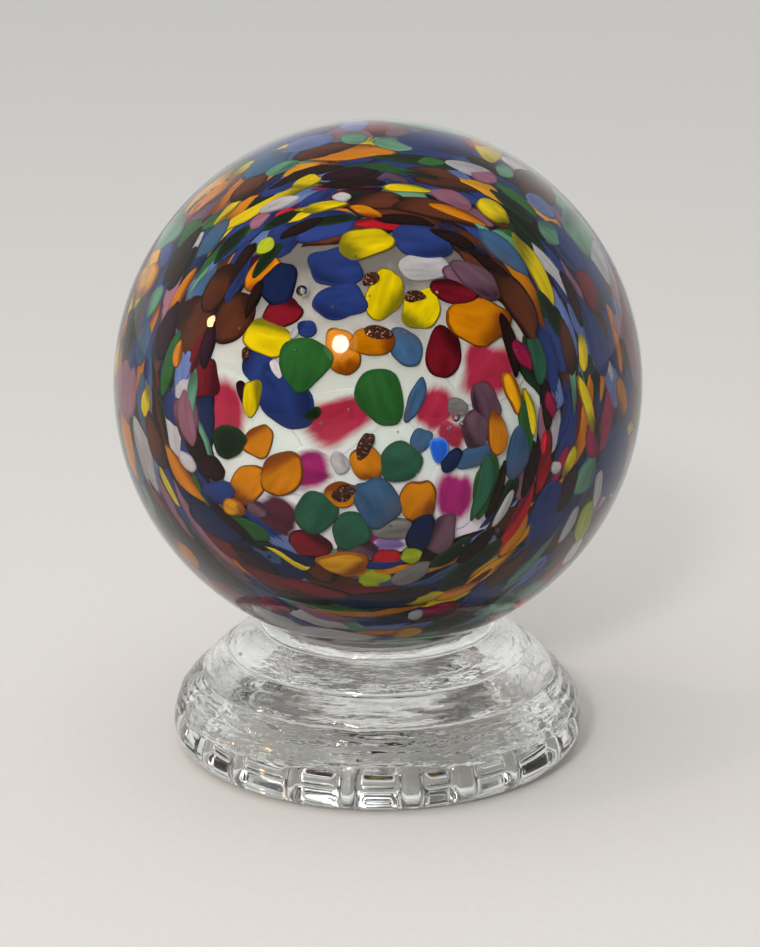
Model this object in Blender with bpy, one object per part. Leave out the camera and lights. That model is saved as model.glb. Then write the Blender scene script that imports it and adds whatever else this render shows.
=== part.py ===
"""A large art-glass marble resting on its own pressed-glass stand.

Two loose pieces: the solid glass ball, and a stand with three stepped tiers, a dish that the
ball sits in, and a hollow underside with a ring of moulded lugs. Metres, +Z up, the origin at
the middle of the stand's foot.
"""

import math

import bmesh
import bpy

# The ball
MARBLE_RADIUS = 0.0500
MARBLE_SEGMENTS = 48
MARBLE_RINGS = 24

# The clearance between the ball and the dish that carries it
SEAT_GAP = 0.0003

# The dish in the top of the stand, and the rounded lip around it
DISH_FLOOR_HEIGHT = 0.0212
DISH_RADIUS = 0.0203
LIP_WIDTH = 0.0026
LIP_DROP = 0.0015
LIP_BULGE = 0.0006

# The tiers: the lower edge of each, and how far its side swells out above that edge
COLLAR_RADIUS = 0.0295
COLLAR_EDGE_HEIGHT = 0.0196
COLLAR_BULGE = 0.0007
MIDDLE_RADIUS = 0.0345
MIDDLE_EDGE_HEIGHT = 0.0147
MIDDLE_BULGE = 0.0006
FLANGE_RADIUS = 0.0400
FLANGE_EDGE_HEIGHT = 0.0052
FLANGE_BULGE = 0.0014
FLANGE_UNDER_BULGE = 0.0013

# The flat ring that the stand rests on
FOOT_RADIUS = 0.0363
FOOT_WIDTH = 0.0040

# The hollow underside: its wall leans in from the foot to a slightly domed ceiling
HOLLOW_DEPTH = 0.0090
HOLLOW_DOME = 0.0010
HOLLOW_WALL_LEAN = 0.0045
HOLLOW_CORNER = 0.0030

# The lugs moulded on the hollow's wall, and how much of each step round the wall is lug
LUG_COUNT = 18
LUG_STANDOUT = 0.0016
LUG_PATTERN = (1.0, 1.0, 1.0, 0.0, 0.0)

# Up the wall, as shares of its slope: where a lug starts, is full, ends being full, and ends
LUG_PROFILE = ((0.12, 0.0), (0.24, 1.0), (0.72, 1.0), (0.86, 0.0))

# Points along the arcs of the turned outline
ARC_STEPS = 4
FLANGE_STEPS = 6
DISH_STEPS = 5
CORNER_STEPS = 3
CEILING_STEPS = 3


def clear_scene():
    """Start from an empty scene."""
    for thing in list(bpy.data.objects):
        bpy.data.objects.remove(thing, do_unlink=True)


def glass(name, colour, roughness):
    """A smooth clear glass tinted with one colour."""
    material = bpy.data.materials.new(name)
    material.use_nodes = True
    shader = material.node_tree.nodes["Principled BSDF"]
    shader.inputs["Base Color"].default_value = (*colour, 1.0)
    shader.inputs["Roughness"].default_value = roughness
    shader.inputs["Metallic"].default_value = 0.0
    shader.inputs["IOR"].default_value = 1.5
    shader.inputs["Transmission Weight"].default_value = 1.0
    return material


def add_object(name, bm, material):
    """Turn a finished bmesh into a smooth-shaded object of that name."""
    bmesh.ops.recalc_face_normals(bm, faces=bm.faces)
    mesh = bpy.data.meshes.new(name)
    bm.to_mesh(mesh)
    bm.free()
    mesh.materials.append(material)
    mesh.shade_smooth()
    mesh.set_sharp_from_angle(angle=math.radians(30))
    thing = bpy.data.objects.new(name, mesh)
    bpy.context.collection.objects.link(thing)
    return thing


def marble_centre_height():
    return DISH_FLOOR_HEIGHT + SEAT_GAP + MARBLE_RADIUS


def dish_height(radius):
    """Height of the dish at this radius: the ball's own curve, one seat gap outside it."""
    curve = MARBLE_RADIUS + SEAT_GAP
    return marble_centre_height() - math.sqrt(curve * curve - radius * radius)


def arc(start, end, bulge, steps):
    """The points between two (radius, height) ends of an arc that swells out of the glass.

    The glass lies to the left of the way from start to end, and bulge is the arc's height over
    its chord. Both ends are left out.
    """
    run_out = end[0] - start[0]
    run_up = end[1] - start[1]
    chord = math.hypot(run_out, run_up)
    radius = (chord * chord / 4 + bulge * bulge) / (2 * bulge)
    points = []
    for step in range(1, steps):
        share = step / steps
        along = chord * (share - 0.5)
        swell = (math.sqrt(radius * radius - along * along) - radius + bulge) / chord
        points.append((
            start[0] + run_out * share + run_up * swell,
            start[1] + run_up * share - run_out * swell,
        ))
    return points


def rounded_corner(start, corner, end, steps):
    """Points of a smooth turn from start to end that leans towards the corner, ends included."""
    points = []
    for step in range(steps + 1):
        t = step / steps
        weights = ((1 - t) ** 2, 2 * t * (1 - t), t * t)
        points.append(tuple(
            sum(weight * point[axis] for weight, point in zip(weights, (start, corner, end)))
            for axis in (0, 1)
        ))
    return points


def hollow_outline():
    """(radius, height, lug) points from the middle of the hollow's ceiling to the foot.

    lug is the share of a lug's standout that the ring gets where a lug stands on it.
    """
    foot_inner = (FOOT_RADIUS - FOOT_WIDTH, 0.0)
    ceiling_edge = (foot_inner[0] - HOLLOW_WALL_LEAN, HOLLOW_DEPTH - HOLLOW_DOME)
    slope = math.dist(foot_inner, ceiling_edge)

    def on_wall(share):
        return tuple(a + (b - a) * share for a, b in zip(foot_inner, ceiling_edge))

    turn_start = (ceiling_edge[0] - HOLLOW_CORNER, ceiling_edge[1])
    turn_end = on_wall(1 - HOLLOW_CORNER / slope)
    points = []
    for step in range(CEILING_STEPS):
        share = step / CEILING_STEPS
        height = HOLLOW_DEPTH - HOLLOW_DOME * share * share
        points.append((turn_start[0] * share, height, 0.0))
    for point in rounded_corner(turn_start, ceiling_edge, turn_end, CORNER_STEPS):
        points.append((*point, 0.0))
    clear_wall = 1 - HOLLOW_CORNER / slope
    for share, lug in reversed(LUG_PROFILE):
        points.append((*on_wall(share * clear_wall), lug))
    points.append((*foot_inner, 0.0))
    return points


def tiers_outline():
    """(radius, height, lug) points from the foot over the tiers to the middle of the dish."""
    foot = (FOOT_RADIUS, 0.0)
    flange = (FLANGE_RADIUS, FLANGE_EDGE_HEIGHT)
    middle = (MIDDLE_RADIUS, MIDDLE_EDGE_HEIGHT)
    collar = (COLLAR_RADIUS, COLLAR_EDGE_HEIGHT)
    crown = (DISH_RADIUS, dish_height(DISH_RADIUS))
    lip = (crown[0] + LIP_WIDTH, crown[1] - LIP_DROP)
    swells = (
        (foot, flange, FLANGE_UNDER_BULGE, ARC_STEPS),
        (flange, middle, FLANGE_BULGE, FLANGE_STEPS),
        (middle, collar, MIDDLE_BULGE, ARC_STEPS),
        (collar, lip, COLLAR_BULGE, ARC_STEPS),
        (lip, crown, LIP_BULGE, ARC_STEPS),
    )
    points = []
    for start, end, bulge, steps in swells:
        points.append(start)
        points.extend(arc(start, end, bulge, steps))
    for step in range(DISH_STEPS + 1):
        radius = DISH_RADIUS * (1 - step / DISH_STEPS)
        points.append((radius, dish_height(radius)))
    return [(*point, 0.0) for point in points]


def turned(bm, outline, segments, pattern, standout):
    """Turn an outline round the Z axis into one closed skin.

    The outline starts and ends on the axis. Its inner points are drawn towards the axis by
    their own share of standout, times the pattern that repeats round the ring.
    """
    rings = [[bm.verts.new((0.0, 0.0, outline[0][1]))]]
    for radius, height, lug in outline[1:-1]:
        ring = []
        for segment in range(segments):
            angle = 2 * math.pi * segment / segments
            reach = radius - standout * lug * pattern[segment % len(pattern)]
            place = (reach * math.cos(angle), reach * math.sin(angle), height)
            ring.append(bm.verts.new(place))
        rings.append(ring)
    rings.append([bm.verts.new((0.0, 0.0, outline[-1][1]))])
    for lower, upper in zip(rings, rings[1:]):
        for segment in range(segments):
            following = (segment + 1) % segments
            if len(lower) == 1:
                corners = (lower[0], upper[following], upper[segment])
            elif len(upper) == 1:
                corners = (lower[segment], lower[following], upper[0])
            else:
                corners = (lower[segment], lower[following], upper[following], upper[segment])
            bm.faces.new(corners)


def make_marble():
    """The solid glass ball, sitting one seat gap above the dish."""
    bm = bmesh.new()
    bmesh.ops.create_uvsphere(
        bm, u_segments=MARBLE_SEGMENTS, v_segments=MARBLE_RINGS, radius=MARBLE_RADIUS
    )
    bmesh.ops.translate(bm, verts=bm.verts, vec=(0.0, 0.0, marble_centre_height()))
    return add_object("marble", bm, glass("cased_art_glass", (0.16, 0.15, 0.22), 0.02))


def make_stand():
    """The pressed-glass stand, one turned piece with its lugs."""
    bm = bmesh.new()
    outline = hollow_outline() + tiers_outline()
    segments = LUG_COUNT * len(LUG_PATTERN)
    turned(bm, outline, segments, LUG_PATTERN, LUG_STANDOUT)
    return add_object("stand", bm, glass("clear_pressed_glass", (0.93, 0.95, 0.94), 0.04))


def main():
    clear_scene()
    make_marble()
    make_stand()


if __name__ == "__main__":
    main()
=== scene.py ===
"""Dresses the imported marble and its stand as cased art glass, and sets a plain studio round them.

The ball is built the way a glass worker builds it: an opal gather, coloured chips picked up on
it and drawn out by the turning, and a thick clear casing over both. The stand is pressed glass.
Lengths are metres unless a name ends in MM, and every piece lies in the frame's own space.
"""

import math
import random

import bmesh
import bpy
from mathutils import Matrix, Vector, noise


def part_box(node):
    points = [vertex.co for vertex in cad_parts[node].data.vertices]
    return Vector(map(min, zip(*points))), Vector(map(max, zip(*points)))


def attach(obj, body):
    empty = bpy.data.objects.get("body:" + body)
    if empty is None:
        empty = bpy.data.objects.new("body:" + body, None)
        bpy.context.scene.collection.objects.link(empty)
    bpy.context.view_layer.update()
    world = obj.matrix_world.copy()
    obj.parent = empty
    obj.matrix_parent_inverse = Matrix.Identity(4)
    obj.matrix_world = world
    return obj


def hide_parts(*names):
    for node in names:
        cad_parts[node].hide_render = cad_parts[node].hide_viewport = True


bl_info = {
    "name": "Art Glass Marble",
    "version": (1, 0, 0),
    "blender": (4, 5, 0),
    "location": "View3D > Sidebar > Art Glass",
    "description": "Makes a cased art-glass marble, its pressed-glass stand and a plain studio",
    "category": "Object",
}

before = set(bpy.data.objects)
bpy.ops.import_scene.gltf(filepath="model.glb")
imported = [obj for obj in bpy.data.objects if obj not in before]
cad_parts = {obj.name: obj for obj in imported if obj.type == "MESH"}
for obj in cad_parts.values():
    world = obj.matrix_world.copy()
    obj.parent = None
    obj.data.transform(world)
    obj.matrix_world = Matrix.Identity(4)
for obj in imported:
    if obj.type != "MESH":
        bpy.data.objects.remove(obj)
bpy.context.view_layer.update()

MM = 0.001
BODY = "root"
BALL_LOW, BALL_HIGH = (Vector(corner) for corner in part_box("marble"))
BALL_CENTRE = (BALL_LOW + BALL_HIGH) / 2
BALL_RADIUS = (BALL_HIGH.z - BALL_LOW.z) / 2

# The photograph's view of the ball: the camera's distance from its centre and its height
# above it, the focal length in pixels, and where the ball's centre shows
VIEW_DISTANCE = 0.475
VIEW_RISE = math.radians(13.95)
FOCAL_PIXELS = 2500.0
PHOTO_SIZE = (760, 947)
BALL_SHOWS_AT = (373.0, 384.5)
AXIS_SHOWS_AT_X = 378.0

# Where the chips' ring pattern is centred in the photograph, which faces the viewer
POLE_SHOWS_AT = (362.0, 402.0)

# Typical refractive indices of the casing's soda-lime glass and of the pressed glass
CASING_IOR = 1.5
PRESSED_IOR = 1.52

# Colours of the glasses, as sRGB hex: the body of a chip, then its rim, and the share of the
# way out at which the rim's colour starts to come in. The clear glasses without a rim are laid
# on thinly and fade out into the opal.
GLASSES = {
    "cobalt": ("#203064", "#1E2A58", 0.84),
    "navy": ("#111C3C", "#0A1026", 0.80),
    "slate": ("#304C6A", "#2A4058", 0.84),
    "sky": ("#1548A8", "#3A70C8", 0.70),
    "periwinkle": ("#56689A", "#48588A", 0.80),
    "lemon": ("#BCA606", "#6A5E10", 0.92),
    "amber": ("#AC6804", "#5C3409", 0.90),
    "honey": ("#C08810", "#7C440C", 0.80),
    "emerald": ("#235024", "#20481F", 0.84),
    "teal": ("#234C3A", "#20422F", 0.84),
    "bottle": ("#0E1A0E", "#142A14", 0.60),
    "ruby": ("#60101A", "#360A10", 0.88),
    "pink": ("#8A2238", None, 0.52),
    "magenta": ("#861A5A", None, 0.54),
    "mauve": ("#5A404E", "#432C3A", 0.86),
    "rose": ("#7C5264", "#6C4656", 0.80),
    "pearl": ("#A19EA3", "#8E8C90", 0.80),
    "coffee": ("#482414", "#240F08", 0.76),
    "lime": ("#86941A", "#4A5814", 0.90),
    "mint": ("#528068", "#3C6454", 0.84),
    "umber": ("#1C0E0A", "#120806", 0.60),
    "plum": ("#240D18", "#16080E", 0.60),
    # This bright scarlet is used for a real chip and also for a painted glint, the lamp's light
    # that the ball focuses in red
    "scarlet": ("#D01030", "#90101C", 0.50),
    "crimson": ("#94101C", "#5C0A12", 0.84),
    "cerise": ("#84103A", "#5A0C2A", 0.80),
    "wine": ("#46202E", None, 0.62),
    "lavender": ("#7C66A0", None, 0.50),
    "ash": ("#6C6866", "#5A5654", 0.84),
}

# Colour that a neighbouring glass has let into one side of a chip
STAINS = {
    "cobalt": "#131B3A",
    "lemon": "#4A4A0C",
    "amber": "#5A2208",
    "honey": "#5A2208",
    "ruby": "#26060A",
    "crimson": "#3A0A14",
    "cerise": "#4A1230",
    "coffee": "#1A0E0A",
    "slate": "#3E4658",
    "mauve": "#24141E",
    "mint": "#2C4A3C",
}

FADING_GLASSES = [name for name, (_, rim, _) in GLASSES.items() if rim is None]

# How a chip is mottled: the clouds' scale along and across its half sizes, how far its tone
# shifts them, and how much cloud and tone lighten it above its darkest
CLOUD_SCALE = (0.55, 1.5, 1.0)
CLOUD_SHIFT = 60.0
CLOUD_LIGHTNESS = 1.3
TONE_LIGHTNESS = 0.36
LEAST_LIGHTNESS = 0.08

# A stain's side turns with the chip's tone. The way out to that side and the clouds are added
# up, the stain comes in between these sums, and it never covers the chip's own colour fully.
STAIN_TURN = 40.0
STAIN_WAVER = 1.2
STAIN_START = 0.72
STAIN_FULL = 1.4
STAIN_MOST = 0.88

# How softly a rim comes in, for a glass with a rim and for one that fades out
RIM_FEATHER = 0.3
FADING_FEATHER = 0.7

# Real sizes of the patterns in the glass, on the pressed skin and in the floor's board
OPAL_CLOUD_SIZE = 12 * MM
# How far up and down from the ball's middle the opal's painted shade reaches, grey above and
# lighter below
OPAL_SHADE_REACH = 28 * MM
FLAKE_SIZE = 0.18 * MM
STREAK_SPACING = 1.2 * MM
STREAK_DEPTH = 0.3 * MM
STREAK_PATCH_SIZE = 7 * MM
BOARD_GRAIN_SIZE = 1.5 * MM

# How far clouds shift the opal's painted shade, and how quickly a streak changes on its way
# round the stand
OPAL_SHADE_UNEVENNESS = 0.3
STREAK_CHANGES_ROUND = 9.0

# The pressed skin's roughness where it is smooth, and how much its streaks add
SMOOTH_ROUGHNESS = 0.02
STREAK_ROUGHNESS = 0.03


def linear(hex_colour):
    """An sRGB hex colour as linear red, green, blue and alpha."""
    channels = [int(hex_colour[place:place + 2], 16) / 255 for place in (1, 3, 5)]
    curve = [c / 12.92 if c <= 0.04045 else ((c + 0.055) / 1.055) ** 2.4 for c in channels]
    return (*curve, 1.0)


def add_node(tree, kind, settings=None, inputs=None):
    """Add one node, set its properties, and fill or link its inputs by name or number."""
    node = tree.nodes.new(kind)
    for key, value in (settings or {}).items():
        setattr(node, key, value)
    for key, value in (inputs or {}).items():
        if isinstance(value, bpy.types.NodeSocket):
            tree.links.new(value, node.inputs[key])
        else:
            node.inputs[key].default_value = value
    return node


# Kinds of node that many calls add, and the settings that say what they do
MATHS = "ShaderNodeMath"
VECTOR_MATHS = "ShaderNodeVectorMath"
ADD, SUBTRACT, MULTIPLY, MULTIPLY_ADD, DIVIDE = (
    {"operation": operation}
    for operation in ("ADD", "SUBTRACT", "MULTIPLY", "MULTIPLY_ADD", "DIVIDE")
)
COSINE, SINE, SCALE, LENGTH, NORMALIZE, DOT_PRODUCT, CROSS_PRODUCT = (
    {"operation": operation}
    for operation in (
        "COSINE", "SINE", "SCALE", "LENGTH", "NORMALIZE", "DOT_PRODUCT", "CROSS_PRODUCT",
    )
)
SMOOTH_STEP = {"interpolation_type": "SMOOTHSTEP"}
COLOUR_MIX = {"data_type": "RGBA"}


def new_material(name):
    """A new node material, its tree and its shader, which is linked to the output."""
    material = bpy.data.materials.new(name)
    material.use_nodes = True
    tree = material.node_tree
    return material, tree, tree.nodes["Principled BSDF"]


def clear_casing_glass():
    """Clear soda-lime glass, fire-polished: no colour of its own, a mirror-smooth skin."""
    material, tree, shader = new_material("clear_casing_glass")
    shader.inputs["Base Color"].default_value = linear("#FFFFFF")
    shader.inputs["Transmission Weight"].default_value = 1.0
    shader.inputs["Specular Tint"].default_value = linear("#888888")
    shader.inputs["Roughness"].default_value = 0.0
    shader.inputs["IOR"].default_value = CASING_IOR
    return material


def opal_colour_with_painted_shade(tree):
    """The opal's colour with painted light and shade: grey at the top, mint, lavender below."""
    place = add_node(tree, "ShaderNodeTexCoord").outputs["Object"]
    cloud = add_node(tree, "ShaderNodeTexNoise", inputs={
        "Vector": place, "Scale": 1 / OPAL_CLOUD_SIZE, "Detail": 4.0, "Roughness": 0.6,
    }).outputs["Fac"]
    height = add_node(tree, "ShaderNodeSeparateXYZ", inputs={0: place}).outputs["Z"]
    # Painted shade and light: the opal greys up the core's height and lightens below
    rise = add_node(tree, "ShaderNodeMapRange", inputs={
        "Value": height, "From Min": BALL_CENTRE.z - OPAL_SHADE_REACH,
        "From Max": BALL_CENTRE.z + OPAL_SHADE_REACH, "To Min": -0.15, "To Max": 0.85,
    }).outputs["Result"]
    uneven_shade = add_node(tree, MATHS, MULTIPLY_ADD, {
        0: cloud, 1: OPAL_SHADE_UNEVENNESS, 2: rise,
    }).outputs[0]
    tint = add_node(tree, "ShaderNodeValToRGB", inputs={"Fac": uneven_shade})
    ramp = tint.color_ramp
    ramp.elements[0].position = 0.12
    ramp.elements[0].color = linear("#D6CCDA")
    ramp.elements[1].position = 0.94
    ramp.elements[1].color = linear("#5C5955")
    ramp.elements.new(0.5).color = linear("#B9C4BF")
    ramp.elements.new(0.78).color = linear("#A2A29D")
    return tint.outputs["Color"]


def opal_glass():
    """Opal gather: milky glass that hides what is behind it, matt under the casing."""
    material, tree, shader = new_material("opal_core_glass")
    tree.links.new(opal_colour_with_painted_shade(tree), shader.inputs["Base Color"])
    shader.inputs["Roughness"].default_value = 0.5
    shader.inputs["Specular IOR Level"].default_value = 0.0
    return material


def chip_glass(name):
    """Crushed colour rod fused in: mottled, stained on one side, with a rim or fading out."""
    body, rim, rim_start = GLASSES[name]
    fading = name in FADING_GLASSES
    feather = FADING_FEATHER if fading else RIM_FEATHER
    material, tree, shader = new_material(f"{name}_chip_glass")
    edge = add_node(tree, "ShaderNodeAttribute", {"attribute_name": "edge"}).outputs["Fac"]
    tone = add_node(tree, "ShaderNodeAttribute", {"attribute_name": "tone"}).outputs["Fac"]
    grain = add_node(tree, "ShaderNodeAttribute", {"attribute_name": "grain"}).outputs["Vector"]

    shift = add_node(tree, MATHS, MULTIPLY, {0: tone, 1: CLOUD_SHIFT}).outputs[0]
    drawn_out = add_node(tree, VECTOR_MATHS, MULTIPLY_ADD, {
        0: grain, 1: CLOUD_SCALE, 2: shift,
    }).outputs[0]
    cloud = add_node(tree, "ShaderNodeTexNoise", inputs={
        "Vector": drawn_out, "Scale": 1.0, "Detail": 5.0, "Roughness": 0.55,
    }).outputs["Fac"]
    own_lightness = add_node(tree, MATHS, MULTIPLY_ADD, {
        0: tone, 1: TONE_LIGHTNESS, 2: LEAST_LIGHTNESS,
    }).outputs[0]
    lightness = add_node(tree, MATHS, MULTIPLY_ADD, {
        0: cloud, 1: CLOUD_LIGHTNESS, 2: own_lightness,
    }).outputs[0]
    colour = add_node(tree, "ShaderNodeHueSaturation", inputs={
        "Color": linear(body), "Value": lightness,
    }).outputs["Color"]

    if name in STAINS:
        turn = add_node(tree, MATHS, MULTIPLY, {0: tone, 1: STAIN_TURN}).outputs[0]
        way = add_node(tree, "ShaderNodeCombineXYZ", inputs={
            0: add_node(tree, MATHS, COSINE, {0: turn}).outputs[0],
            1: add_node(tree, MATHS, SINE, {0: turn}).outputs[0],
        }).outputs[0]
        side = add_node(tree, VECTOR_MATHS, DOT_PRODUCT, {0: grain, 1: way}).outputs["Value"]
        uneven_side = add_node(tree, MATHS, MULTIPLY_ADD, {
            0: cloud, 1: STAIN_WAVER, 2: side,
        }).outputs[0]
        stain = add_node(tree, "ShaderNodeMapRange", SMOOTH_STEP, {
            "Value": uneven_side, "From Min": STAIN_START, "From Max": STAIN_FULL,
            "To Min": 0.0, "To Max": STAIN_MOST,
        }).outputs["Result"]
        colour = add_node(tree, "ShaderNodeMix", COLOUR_MIX, {
            0: stain, 6: colour, 7: linear(STAINS[name]),
        }).outputs[2]

    # The clouds add about half the feather, so the rim's limits lie further out by that
    uneven_edge = add_node(tree, MATHS, MULTIPLY_ADD, {
        0: cloud, 1: feather, 2: edge,
    }).outputs[0]
    rim_share = add_node(tree, "ShaderNodeMapRange", SMOOTH_STEP, {
        "Value": uneven_edge, "From Min": rim_start + 0.5 * feather,
        "From Max": 1 + 0.4 * feather, "To Min": 0.0, "To Max": 1.0,
    }).outputs["Result"]
    outer = opal_colour_with_painted_shade(tree) if fading else linear(rim)
    colour = add_node(tree, "ShaderNodeMix", COLOUR_MIX, {
        0: rim_share, 6: colour, 7: outer,
    }).outputs[2]
    tree.links.new(colour, shader.inputs["Base Color"])
    shader.inputs["Roughness"].default_value = 0.5
    shader.inputs["Specular IOR Level"].default_value = 0.0
    return material


def bubble_air():
    """Air in glass: the light bends the other way round when it enters."""
    material, tree, shader = new_material("bubble_air")
    shader.inputs["Base Color"].default_value = linear("#FFFFFF")
    shader.inputs["Transmission Weight"].default_value = 1.0
    shader.inputs["Roughness"].default_value = 0.0
    shader.inputs["IOR"].default_value = 1 / CASING_IOR
    return material


def aventurine_glass():
    """Copper aventurine: dark brown glass full of bright copper flakes."""
    material, tree, shader = new_material("aventurine_chip_glass")
    place = add_node(tree, "ShaderNodeTexCoord").outputs["Object"]
    flakes = add_node(tree, "ShaderNodeTexVoronoi", {"feature": "F1"}, {
        "Vector": place, "Scale": 1 / FLAKE_SIZE, "Randomness": 1.0,
    })
    bright = add_node(tree, "ShaderNodeMapRange", inputs={
        "Value": flakes.outputs["Color"], "From Min": 0.76, "From Max": 0.84,
    }).outputs["Result"]
    colour = add_node(tree, "ShaderNodeMix", COLOUR_MIX, {
        0: bright, 6: linear("#2E1A14"), 7: linear("#946A4E"),
    }).outputs[2]
    tree.links.new(colour, shader.inputs["Base Color"])
    tree.links.new(bright, shader.inputs["Metallic"])
    shader.inputs["Roughness"].default_value = 0.35
    shader.inputs["Specular IOR Level"].default_value = 0.0
    return material


def glass_for(name):
    """The material of a chip, made once and shared by every piece of that glass."""
    made = bpy.data.materials.get(f"{name}_chip_glass")
    if made:
        return made
    return aventurine_glass() if name == "aventurine" else chip_glass(name)


def pressed_glass():
    """Pressed soda-lime glass: fire-polished over fine streaks that run round the tiers."""
    material, tree, shader = new_material("clear_pressed_glass")
    place = add_node(tree, "ShaderNodeTexCoord").outputs["Object"]
    level = add_node(tree, VECTOR_MATHS, MULTIPLY, {0: place, 1: (1.0, 1.0, 0.0)}).outputs[0]
    reach = add_node(tree, VECTOR_MATHS, LENGTH, {0: level}).outputs["Value"]
    outward = add_node(tree, VECTOR_MATHS, NORMALIZE, {0: level}).outputs[0]
    height = add_node(tree, "ShaderNodeSeparateXYZ", inputs={0: place}).outputs["Z"]
    up_the_tiers = add_node(tree, MATHS, SUBTRACT, {0: height, 1: reach}).outputs[0]
    round_it = add_node(tree, VECTOR_MATHS, SCALE, {
        0: outward, "Scale": STREAK_CHANGES_ROUND,
    }).outputs[0]
    rows = add_node(tree, MATHS, MULTIPLY, {0: up_the_tiers, 1: 1 / STREAK_SPACING}).outputs[0]
    stretched = add_node(tree, VECTOR_MATHS, MULTIPLY_ADD, {
        0: (0.0, 0.0, 1.0), 1: rows, 2: round_it,
    }).outputs[0]
    ripple = add_node(tree, "ShaderNodeTexNoise", inputs={
        "Vector": stretched, "Scale": 1.0, "Detail": 2.5, "Roughness": 0.55,
    }).outputs["Fac"]
    patches = add_node(tree, "ShaderNodeTexNoise", inputs={
        "Vector": place, "Scale": 1 / STREAK_PATCH_SIZE, "Detail": 2.0,
    }).outputs["Fac"]
    here = add_node(tree, "ShaderNodeMapRange", inputs={
        "Value": patches, "From Min": 0.35, "From Max": 0.65, "To Min": 0.25, "To Max": 1.5,
    }).outputs["Result"]
    streaky = add_node(tree, "ShaderNodeAttribute", {"attribute_name": "streak"}).outputs["Fac"]
    share = add_node(tree, MATHS, MULTIPLY, {0: here, 1: streaky}).outputs[0]
    raised = add_node(tree, MATHS, MULTIPLY, {0: ripple, 1: share}).outputs[0]
    bump = add_node(tree, "ShaderNodeBump", inputs={
        "Height": raised, "Strength": 0.6, "Distance": STREAK_DEPTH,
    }).outputs["Normal"]
    tree.links.new(bump, shader.inputs["Normal"])
    silvery = add_node(tree, MATHS, MULTIPLY_ADD, {
        0: share, 1: STREAK_ROUGHNESS, 2: SMOOTH_ROUGHNESS,
    }).outputs[0]
    tree.links.new(silvery, shader.inputs["Roughness"])
    shader.inputs["Base Color"].default_value = linear("#FBFDFC")
    shader.inputs["Transmission Weight"].default_value = 1.0
    shader.inputs["IOR"].default_value = PRESSED_IOR
    return material


def pale_floor():
    """Matt pale studio board with a barely visible grain."""
    material, tree, shader = new_material("pale_studio_board")
    place = add_node(tree, "ShaderNodeTexCoord").outputs["Object"]
    grain = add_node(tree, "ShaderNodeTexNoise", inputs={
        "Vector": place, "Scale": 1 / BOARD_GRAIN_SIZE, "Detail": 4.0,
    }).outputs["Fac"]
    colour = add_node(tree, "ShaderNodeMix", COLOUR_MIX, {
        0: grain, 6: linear("#CBCAC8"), 7: linear("#D3D2D0"),
    }).outputs[2]
    tree.links.new(colour, shader.inputs["Base Color"])
    shader.inputs["Roughness"].default_value = 0.75
    return material


class CoreSettings(bpy.types.PropertyGroup):
    radius: bpy.props.FloatProperty(
        name="Core radius", description="Radius of the opal core under the casing",
        default=0.74 * BALL_RADIUS, min=0.01, unit="LENGTH",
    )
    casing_ior: bpy.props.FloatProperty(
        name="Casing IOR", description="Refractive index of the clear casing",
        default=CASING_IOR, min=1.0, max=2.0,
    )
    chip_thickness: bpy.props.FloatProperty(
        name="Chip thickness", description="How far a chip stands out of the core",
        default=0.15 * MM, min=0.0, unit="LENGTH",
    )


class DrawnChipSettings(bpy.types.PropertyGroup):
    length: bpy.props.FloatProperty(
        name="Drawn length", description="Mean length of a chip where it is drawn out most",
        default=12.5 * MM, min=0.001, unit="LENGTH",
    )
    width: bpy.props.FloatProperty(
        name="Drawn width", description="Mean width of a chip where it is drawn out most",
        default=3.0 * MM, min=0.0005, unit="LENGTH",
    )
    belt_length: bpy.props.FloatProperty(
        name="Belt length", description="Mean length of a chip on the belt between the poles",
        default=10 * MM, min=0.001, unit="LENGTH",
    )
    belt_width: bpy.props.FloatProperty(
        name="Belt width", description="Mean width of a chip on the belt between the poles",
        default=8 * MM, min=0.001, unit="LENGTH",
    )
    pebble: bpy.props.FloatProperty(
        name="Pebble size", description="Mean length of a chip round the far pole",
        default=9 * MM, min=0.001, unit="LENGTH",
    )
    spacing: bpy.props.FloatProperty(
        name="Spacing", description="Least distance between the middles of two drawn chips",
        default=3.3 * MM, min=0.001, unit="LENGTH",
    )
    lean: bpy.props.FloatProperty(
        name="Lean", description="The most that a drawn chip leans off its parallel",
        default=math.radians(9), subtype="ANGLE",
    )
    wander: bpy.props.FloatProperty(
        name="Wander", description="How far the chips' edges stray from a true oval",
        default=3.5 * MM, unit="LENGTH",
    )
    pole_cap: bpy.props.FloatProperty(
        name="Bare cap", description="Angle round each pole that the drawn chips leave free",
        default=math.radians(47), subtype="ANGLE",
    )
    seed: bpy.props.IntProperty(name="Seed", description="Picks another scatter", default=7)


class StandSettings(bpy.types.PropertyGroup):
    dish_radius: bpy.props.FloatProperty(
        name="Dish radius", description="Radius of the dish that the ball sits in",
        default=20.3 * MM, unit="LENGTH",
    )
    seat_gap: bpy.props.FloatProperty(
        name="Seat gap", description="Clearance between the ball and its dish",
        default=0.3 * MM, unit="LENGTH",
    )
    lug_count: bpy.props.IntProperty(
        name="Lugs", description="Lugs moulded round the hollow underside", default=18,
    )
    streak: bpy.props.FloatProperty(
        name="Streak height", description="Height of the fire-polished streaks on the tiers",
        default=0.20 * MM, unit="LENGTH",
    )


class StageSettings(bpy.types.PropertyGroup):
    floor_radius: bpy.props.FloatProperty(
        name="Floor radius", description="Radius of the plain floor", default=6.0, unit="LENGTH",
    )


def finished_mesh(name, bm):
    """Turn a finished bmesh into a smooth-shaded mesh."""
    mesh = bpy.data.meshes.new(name)
    bm.to_mesh(mesh)
    bm.free()
    mesh.shade_smooth()
    return mesh


def add_ball(bm, centre, radius, subdivisions):
    """Add a ball of even triangles to a bmesh."""
    made = bmesh.ops.create_icosphere(bm, subdivisions=subdivisions, radius=radius)
    bmesh.ops.translate(bm, verts=made["verts"], vec=centre)


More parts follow.
